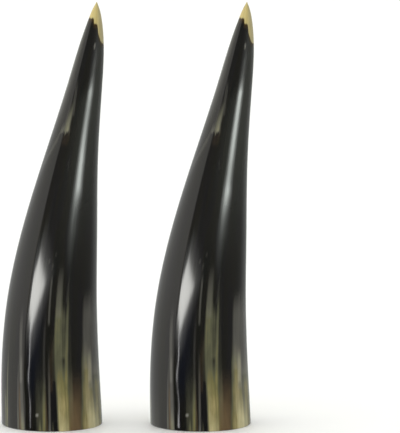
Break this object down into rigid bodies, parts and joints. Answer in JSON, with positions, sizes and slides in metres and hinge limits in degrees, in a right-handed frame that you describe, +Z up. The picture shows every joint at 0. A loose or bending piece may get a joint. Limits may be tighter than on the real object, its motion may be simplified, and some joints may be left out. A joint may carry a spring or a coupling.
{
  "type": "pair of cow horns",
  "caption": "Matched pair of polished cow horns: hollow, tapering, gently curved sheaths with pale tips, cut flat at the base so that they stand tip up as ornaments.",
  "frame": {"origin": "on the surface that the horns stand on, at the middle of the pair's box", "axes": "+Z up, towards the tips; +X to the right and +Y away from someone who faces the horns; both tips sweep towards +X"},
  "size_m": [0.1492, 0.056, 0.25],
  "materials": {
    "polished_horn": "natural horn, scraped and buffed to a gloss: near black, with tan streaks rising from the base and a pale honey tip"
  },
  "bodies": {
    "root": {"horn_left": "polished_horn", "horn_right": "polished_horn"}
  },
  "joints": []
}
